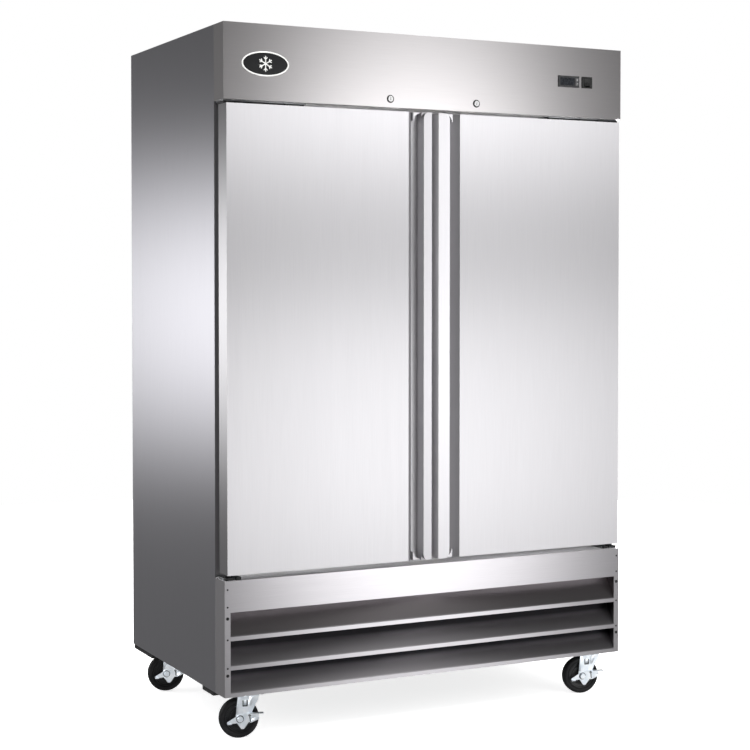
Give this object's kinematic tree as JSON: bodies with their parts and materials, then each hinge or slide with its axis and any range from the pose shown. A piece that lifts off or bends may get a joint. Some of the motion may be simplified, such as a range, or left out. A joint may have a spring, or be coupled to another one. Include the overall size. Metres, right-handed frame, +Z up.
{
  "type": "reach-in refrigerator",
  "caption": "Upright stainless commercial refrigerator with hinged solid doors, recessed full-height handles, louvred base and swivel casters.",
  "frame": {"origin": "on the floor under the cabinet, midway between its sides and midway between the handles and the power inlet at the rear", "axes": "+X to the right as seen from the front, -Y out of the doors, +Z up"},
  "size_m": [1.372, 0.858, 2.083],
  "materials": {
    "stainless": "satin",
    "liner_steel": "satin",
    "galvanised": "satin",
    "foam": "matte",
    "black_paint": "satin",
    "badge_black": "gloss",
    "chrome": "polished",
    "bezel_grey": "satin",
    "display_dark": "gloss",
    "button_grey": "satin",
    "switch_black": "satin",
    "coil_aluminium": "satin",
    "copper": "satin",
    "white_plastic": "matte",
    "motor_grey": "satin",
    "shelf_coating": "satin",
    "zinc": "satin",
    "fan_plastic": "matte",
    "gasket_rubber": "matte",
    "wheel_rubber": "matte"
  },
  "bodies": {
    "cabinet": {"side_panel_left": "stainless", "side_panel_right": "stainless", "rear_panel": "galvanised", "top_panel": "galvanised", "floor_pan": "galvanised", "insulation": "foam", "inner_liner": "liner_steel", "face_frame": "stainless", "header_panel": "stainless", "base_grille": "stainless", "base_pan": "galvanised", "base_rails": "black_paint", "badge": "badge_black", "hinge_brackets": "black_paint", "lock_rings": "chrome", "controller_bezel": "bezel_grey", "controller_display": "display_dark", "switch_bezel": "switch_black", "compressor": "black_paint", "condenser_coil": "coil_aluminium", "condenser_shroud": "black_paint", "refrigerant_lines": "copper", "condensate_pan": "white_plastic", "power_inlet": "switch_black", "evaporator_housing": "liner_steel", "evaporator_coil": "coil_aluminium", "evaporator_motors": "motor_grey", "shelf_standards": "liner_steel", "wire_shelves": "shelf_coating", "caster_plates": "zinc"},
    "door_left": {"door_skin_left": "stainless", "door_handle_left": "stainless", "door_insulation_left": "foam", "door_liner_left": "liner_steel", "door_gasket_left": "gasket_rubber"},
    "door_right": {"door_skin_right": "stainless", "door_handle_right": "stainless", "door_insulation_right": "foam", "door_liner_right": "liner_steel", "door_gasket_right": "gasket_rubber"},
    "lock_left": {"lock_cylinder_left": "chrome"},
    "lock_right": {"lock_cylinder_right": "chrome"},
    "button_up": {"controller_button_up": "button_grey"},
    "button_down": {"controller_button_down": "button_grey"},
    "rocker": {"switch_rocker": "switch_black"},
    "condenser_fan": {"condenser_fan": "fan_plastic"},
    "evaporator_fan_left": {"evaporator_fan_left": "fan_plastic"},
    "evaporator_fan_right": {"evaporator_fan_right": "fan_plastic"},
    "caster_front_left": {"caster_fork_front_left": "zinc"},
    "wheel_front_left": {"caster_wheel_front_left": "wheel_rubber"},
    "brake_front_left": {"brake_lever_front_left": "zinc"},
    "caster_front_right": {"caster_fork_front_right": "zinc"},
    "wheel_front_right": {"caster_wheel_front_right": "wheel_rubber"},
    "brake_front_right": {"brake_lever_front_right": "zinc"},
    "caster_rear_left": {"caster_fork_rear_left": "zinc"},
    "wheel_rear_left": {"caster_wheel_rear_left": "wheel_rubber"},
    "brake_rear_left": {"brake_lever_rear_left": "zinc"},
    "caster_rear_right": {"caster_fork_rear_right": "zinc"},
    "wheel_rear_right": {"caster_wheel_rear_right": "wheel_rubber"},
    "brake_rear_right": {"brake_lever_rear_right": "zinc"}
  },
  "joints": [
    {"name": "door_left_hinge", "type": "hinge", "parent": "cabinet", "child": "door_left", "pos_m": [-0.664, -0.382, 1.17], "axis": [0, 0, -1], "range_deg": [0, 120]},
    {"name": "door_right_hinge", "type": "hinge", "parent": "cabinet", "child": "door_right", "pos_m": [0.664, -0.382, 1.17], "axis": [0, 0, 1], "range_deg": [0, 120]},
    {"name": "lock_left_turn", "type": "hinge", "parent": "cabinet", "child": "lock_left", "pos_m": [-0.149, -0.41, 1.887], "axis": [0, 1, 0], "range_deg": [0, 90]},
    {"name": "lock_right_turn", "type": "hinge", "parent": "cabinet", "child": "lock_right", "pos_m": [0.149, -0.41, 1.887], "axis": [0, -1, 0], "range_deg": [0, 90]},
    {"name": "button_up_press", "type": "slide", "parent": "cabinet", "child": "button_up", "axis": [0, 1, 0], "range_m": [0, 0.0008], "stiffness_N_per_m": 400},
    {"name": "button_down_press", "type": "slide", "parent": "cabinet", "child": "button_down", "axis": [0, 1, 0], "range_m": [0, 0.0008], "stiffness_N_per_m": 400},
    {"name": "rocker_tilt", "type": "hinge", "parent": "cabinet", "child": "rocker", "pos_m": [0.5555, -0.406, 1.973], "axis": [1, 0, 0], "range_deg": [0, 14]},
    {"name": "condenser_fan_spin", "type": "hinge", "parent": "cabinet", "child": "condenser_fan", "pos_m": [-0.24, -0.224, 0.283], "axis": [0, 1, 0], "continuous": true},
    {"name": "evaporator_fan_left_spin", "type": "hinge", "parent": "cabinet", "child": "evaporator_fan_left", "pos_m": [-0.215, 0.038, 1.961], "axis": [0, 1, 0], "continuous": true},
    {"name": "evaporator_fan_right_spin", "type": "hinge", "parent": "cabinet", "child": "evaporator_fan_right", "pos_m": [0.215, 0.038, 1.961], "axis": [0, 1, 0], "continuous": true},
    {"name": "caster_front_left_swivel", "type": "hinge", "parent": "cabinet", "child": "caster_front_left", "pos_m": [-0.598, -0.355, 0.12], "axis": [0, 0, 1], "continuous": true},
    {"name": "wheel_front_left_roll", "type": "hinge", "parent": "caster_front_left", "child": "wheel_front_left", "pos_m": [-0.61952, -0.35043, 0.059], "axis": [0.2079, 0.9781, 0], "continuous": true},
    {"name": "brake_front_left_press", "type": "hinge", "parent": "caster_front_left", "child": "brake_front_left", "pos_m": [-0.61952, -0.35043, 0.059], "axis": [0.2079, 0.9781, 0], "range_deg": [0, 18]},
    {"name": "caster_front_right_swivel", "type": "hinge", "parent": "cabinet", "child": "caster_front_right", "pos_m": [0.598, -0.355, 0.12], "axis": [0, 0, 1], "continuous": true},
    {"name": "wheel_front_right_roll", "type": "hinge", "parent": "caster_front_right", "child": "wheel_front_right", "pos_m": [0.57648, -0.35043, 0.059], "axis": [0.2079, 0.9781, 0], "continuous": true},
    {"name": "brake_front_right_press", "type": "hinge", "parent": "caster_front_right", "child": "brake_front_right", "pos_m": [0.57648, -0.35043, 0.059], "axis": [0.2079, 0.9781, 0], "range_deg": [0, 18]},
    {"name": "caster_rear_left_swivel", "type": "hinge", "parent": "cabinet", "child": "caster_rear_left", "pos_m": [-0.598, 0.28, 0.12], "axis": [0, 0, 1], "continuous": true},
    {"name": "wheel_rear_left_roll", "type": "hinge", "parent": "caster_rear_left", "child": "wheel_rear_left", "pos_m": [-0.61952, 0.28457, 0.059], "axis": [0.2079, 0.9781, 0], "continuous": true},
    {"name": "brake_rear_left_press", "type": "hinge", "parent": "caster_rear_left", "child": "brake_rear_left", "pos_m": [-0.61952, 0.28457, 0.059], "axis": [0.2079, 0.9781, 0], "range_deg": [0, 18]},
    {"name": "caster_rear_right_swivel", "type": "hinge", "parent": "cabinet", "child": "caster_rear_right", "pos_m": [0.598, 0.28, 0.12], "axis": [0, 0, 1], "continuous": true},
    {"name": "wheel_rear_right_roll", "type": "hinge", "parent": "caster_rear_right", "child": "wheel_rear_right", "pos_m": [0.57648, 0.28457, 0.059], "axis": [0.2079, 0.9781, 0], "continuous": true},
    {"name": "brake_rear_right_press", "type": "hinge", "parent": "caster_rear_right", "child": "brake_rear_right", "pos_m": [0.57648, 0.28457, 0.059], "axis": [0.2079, 0.9781, 0], "range_deg": [0, 18]}
  ]
}
